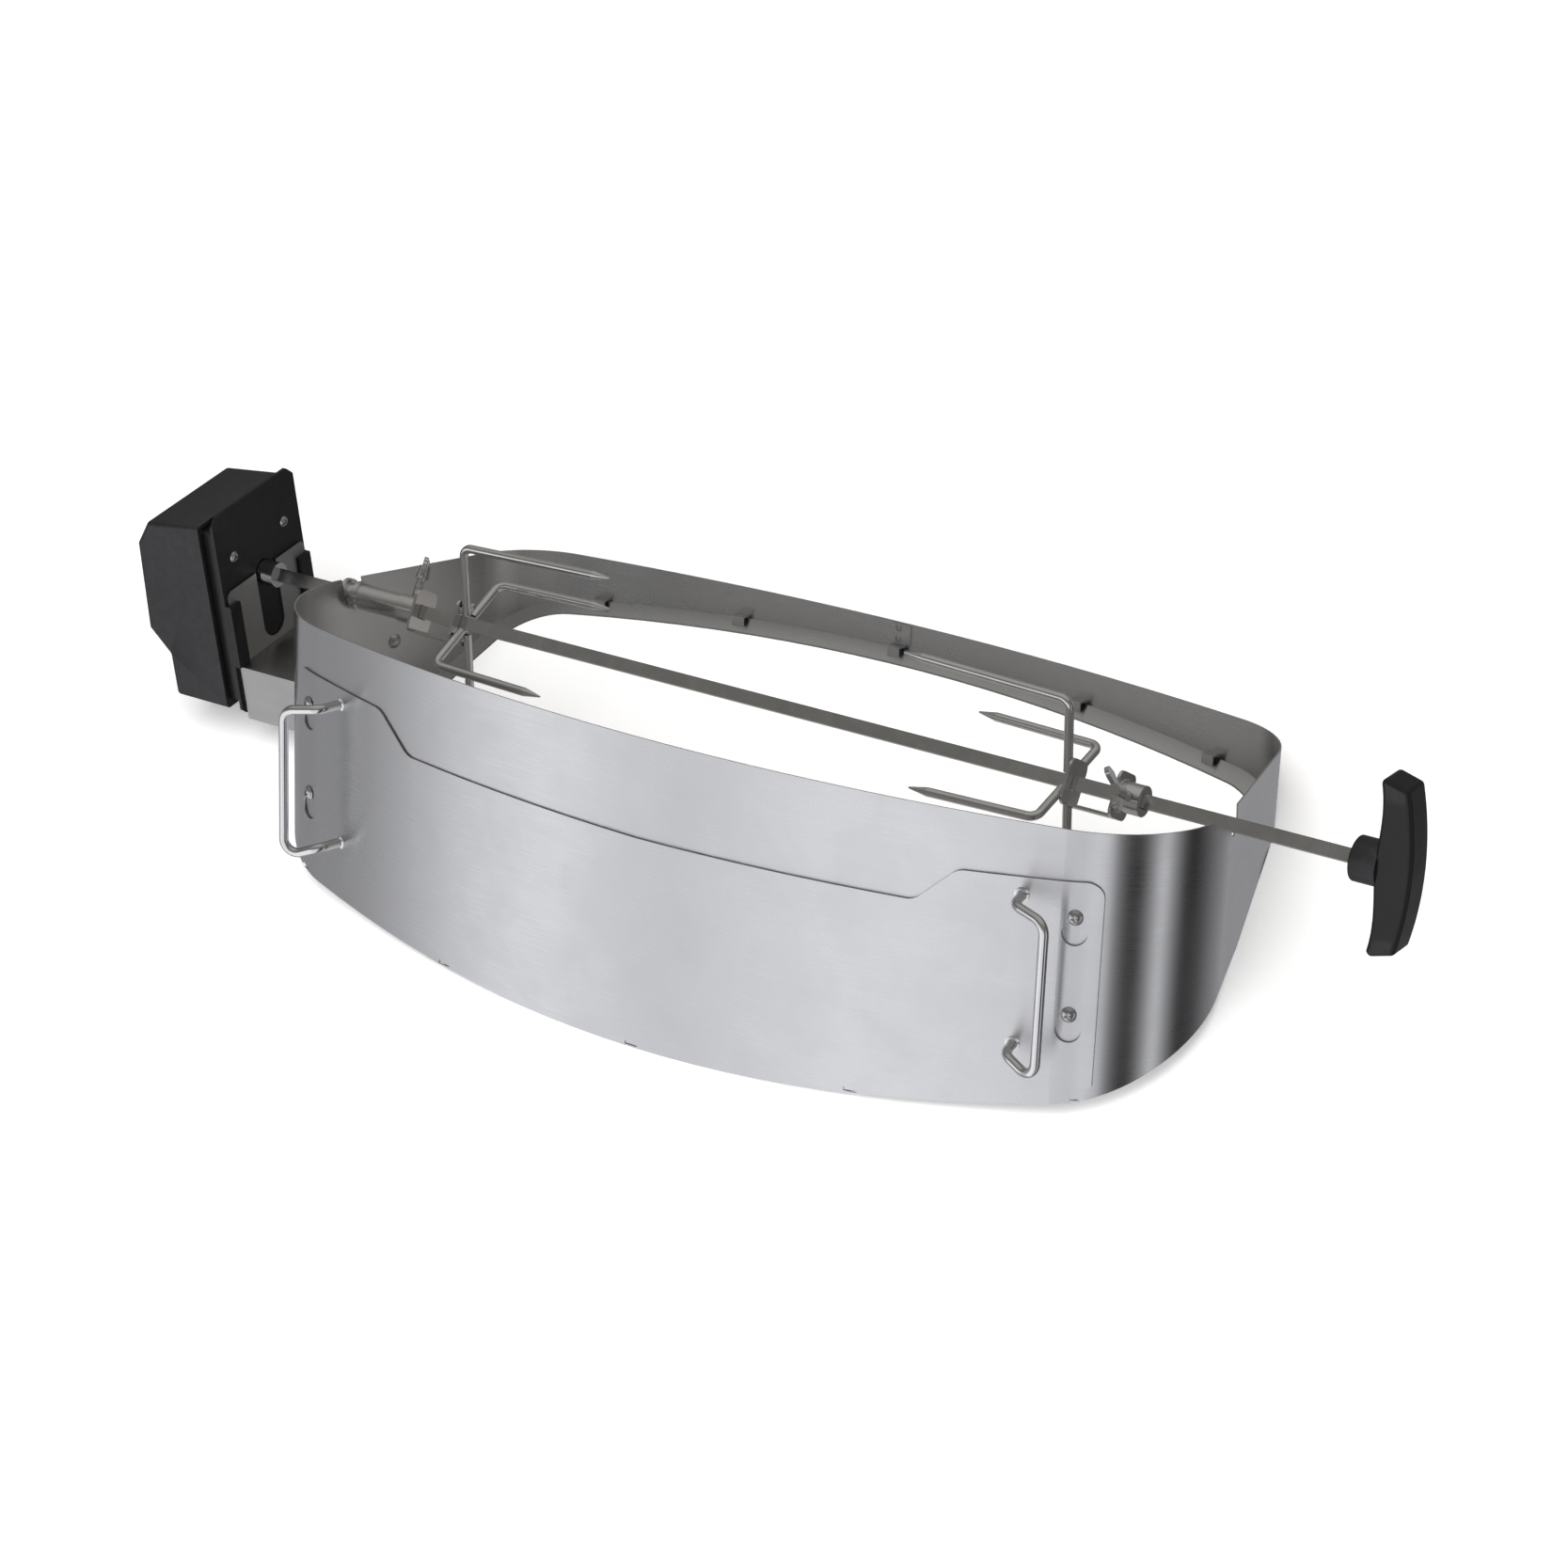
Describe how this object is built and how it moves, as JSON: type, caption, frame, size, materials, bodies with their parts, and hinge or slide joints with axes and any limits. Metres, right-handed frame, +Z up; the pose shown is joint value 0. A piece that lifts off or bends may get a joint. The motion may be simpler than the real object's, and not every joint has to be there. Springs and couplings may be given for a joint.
{
  "type": "rotisserie spit roaster",
  "caption": "Steel ring for a round kettle grill with a lift-off door, a battery motor on a side bracket, and a square spit with two four-pronged forks and a T-handle.",
  "frame": {"origin": "on the plane the ring stands on, under the middle of the back flange", "axes": "+X along the spit from the motor to the T-handle, +Y from the door to the back, +Z up from the plane the ring stands on"},
  "size_m": [0.8646, 0.3465, 0.1686],
  "materials": {
    "ring_steel": "brushed stainless sheet, grain along the ring",
    "fastener_steel": "plain steel fasteners",
    "bracket_steel": "plain bent sheet",
    "wire_chrome": "bright plated wire and bar",
    "black_enamel": "satin black",
    "black_plastic": "satin moulded",
    "switch_plastic": "gloss black",
    "gear_plastic": "natural nylon",
    "bearing_bronze": "sintered bronze",
    "plated_steel": "zinc plated",
    "cell_wrap": "plain sleeve"
  },
  "bodies": {
    "shroud": {"shroud_wall": "ring_steel", "base_flange": "ring_steel", "locating_clips": "ring_steel", "seam_rivets": "fastener_steel", "side_rivet": "fastener_steel", "door_studs": "fastener_steel", "door_stud_nuts": "fastener_steel", "motor_bracket": "bracket_steel", "bracket_bolts": "fastener_steel", "bracket_nuts": "fastener_steel"},
    "door": {"door_panel": "ring_steel", "door_handle_left": "wire_chrome", "door_handle_right": "wire_chrome"},
    "motor": {"motor_back_plate": "black_enamel", "back_plate_screws": "fastener_steel", "motor_housing": "black_plastic", "motor_cover": "black_plastic", "socket_bearing": "bearing_bronze", "gear_plate": "plated_steel", "idler_arbor": "plated_steel", "drive_motor": "plated_steel", "battery_cell_lower": "cell_wrap", "battery_cell_upper": "cell_wrap", "battery_contacts": "plated_steel", "switch_frame": "black_plastic"},
    "hatch": {"battery_hatch": "black_plastic"},
    "rocker": {"switch_rocker": "switch_plastic"},
    "pinion": {"motor_shaft": "plated_steel", "drive_pinion": "gear_plastic"},
    "idler": {"idler_gear": "gear_plastic"},
    "spit": {"output_gear": "gear_plastic", "output_socket": "plated_steel", "spit_rod": "wire_chrome", "spit_bushing": "wire_chrome", "handle_ferrule": "black_plastic", "handle_grip": "black_plastic", "handle_bolt": "fastener_steel"},
    "fork_left": {"left_fork_hub": "wire_chrome", "left_fork_collar": "wire_chrome", "left_fork_prongs": "wire_chrome"},
    "wing_left": {"left_wing_screw": "wire_chrome"},
    "fork_right": {"right_fork_hub": "wire_chrome", "right_fork_collar": "wire_chrome", "right_fork_prongs": "wire_chrome"},
    "wing_right": {"right_wing_screw": "wire_chrome"}
  },
  "joints": [
    {"name": "door_lift", "type": "slide", "parent": "shroud", "child": "door", "axis": [0, 0.4664, 0.8846], "range_m": [0, 0.0095]},
    {"name": "motor_lift", "type": "slide", "parent": "shroud", "child": "motor", "axis": [0, 0.2639, 0.9646], "range_m": [0, 0.055]},
    {"name": "hatch_pull", "type": "slide", "parent": "motor", "child": "hatch", "axis": [-0.9988, 0.0128, 0.0466], "range_m": [0, 0.02]},
    {"name": "rocker_swing", "type": "hinge", "parent": "motor", "child": "rocker", "pos_m": [-0.43939, -0.12868, 0.1077], "axis": [0.0483, 0.2636, 0.9634], "range_deg": [-14, 0]},
    {"name": "spit_turn", "type": "hinge", "parent": "motor", "child": "spit", "pos_m": [0, -0.13337, 0.09052], "axis": [1, 0, 0], "continuous": true},
    {"name": "idler_turn", "type": "hinge", "parent": "motor", "child": "idler", "pos_m": [-0.4, -0.11364, 0.10419], "axis": [1, 0, 0], "continuous": true},
    {"name": "pinion_turn", "type": "hinge", "parent": "motor", "child": "pinion", "pos_m": [-0.4, -0.13293, 0.10946], "axis": [1, 0, 0], "continuous": true},
    {"name": "fork_left_slide", "type": "slide", "parent": "spit", "child": "fork_left", "axis": [1, 0, 0], "range_m": [0, 0.09]},
    {"name": "fork_right_slide", "type": "slide", "parent": "spit", "child": "fork_right", "axis": [1, 0, 0], "range_m": [-0.09, 0.04]},
    {"name": "wing_left_turn", "type": "hinge", "parent": "fork_left", "child": "wing_left", "pos_m": [-0.26155, -0.13337, 0.09052], "axis": [0, 0.8271, 0.5621], "range_deg": [0, 360]},
    {"name": "wing_right_turn", "type": "hinge", "parent": "fork_right", "child": "wing_right", "pos_m": [0.24355, -0.13337, 0.09052], "axis": [0, -0.5621, 0.8271], "range_deg": [0, 360]}
  ],
  "couplings": [
    {"joint": "idler_turn", "follows": "spit_turn", "ratio": -4},
    {"joint": "pinion_turn", "follows": "spit_turn", "ratio": 16}
  ]
}
